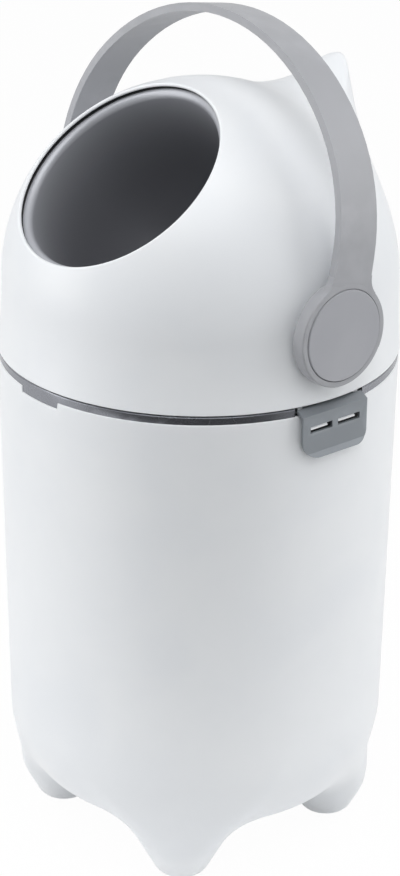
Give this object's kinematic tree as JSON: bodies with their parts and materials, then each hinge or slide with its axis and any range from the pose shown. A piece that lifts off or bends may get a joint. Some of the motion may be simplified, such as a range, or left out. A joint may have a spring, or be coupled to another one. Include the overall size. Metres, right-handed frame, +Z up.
{
  "type": "nappy bin",
  "caption": "Round nappy bin on short legs with a hinged domed head, a tilted round mouth over a turning ball-shaped drum with a bowl, an arched carrying handle and a side latch.",
  "frame": {"origin": "on the floor, on the bin's upright axis, at the middle of the four foot pads", "axes": "+Z up, -Y towards the front that the mouth faces, +X towards the latch side"},
  "size_m": [0.2984, 0.28, 0.6055],
  "materials": {
    "white_body": "satin moulded plastic",
    "white_inner": "matte moulded plastic",
    "grey_plastic": "glossy grey plastic",
    "handle_grey": "satin light grey plastic",
    "cap_grey": "fine matte grey plastic",
    "latch_grey": "satin mid grey plastic",
    "drum_grey": "satin dark grey plastic",
    "bush_plastic": "matte bearing plastic",
    "dark_rubber": "soft dark rubber",
    "foot_rubber": "soft grey rubber",
    "screw_steel": "zinc-plated steel"
  },
  "bodies": {
    "bin": {"bin_body": "white_body", "bag_ring": "grey_plastic", "foot_pad_front_left": "foot_rubber", "foot_pad_front_right": "foot_rubber", "foot_pad_rear_left": "foot_rubber", "foot_pad_rear_right": "foot_rubber", "hinge_bracket": "latch_grey", "bracket_screws": "screw_steel", "hinge_pin": "screw_steel"},
    "head": {"head_shell": "white_body", "mouth_seal": "dark_rubber", "head_deck": "white_inner", "drum_seal": "dark_rubber", "deck_screws": "screw_steel", "bush_left": "bush_plastic", "bush_right": "bush_plastic", "hinge_leaf": "latch_grey", "leaf_screws": "screw_steel", "latch_pin": "screw_steel"},
    "drum": {"drum_front": "drum_grey", "drum_rear": "drum_grey", "bowl": "drum_grey", "axle_left": "bush_plastic", "axle_right": "bush_plastic", "handle": "handle_grey", "hub_cap_left": "cap_grey", "hub_cap_right": "cap_grey", "hub_screws": "screw_steel"},
    "latch": {"latch": "latch_grey"}
  },
  "joints": [
    {"name": "head_hinge", "type": "hinge", "parent": "bin", "child": "head", "pos_m": [-0.1448, 0, 0.3726], "axis": [0, -1, 0], "range_deg": [0, 100]},
    {"name": "handle_swing", "type": "hinge", "parent": "head", "child": "drum", "pos_m": [0, 0, 0.4196], "axis": [1, 0, 0], "range_deg": [0, 120]},
    {"name": "latch_pivot", "type": "hinge", "parent": "head", "child": "latch", "pos_m": [0.1325, 0, 0.3688], "axis": [0, -1, 0], "range_deg": [0, 20]}
  ]
}
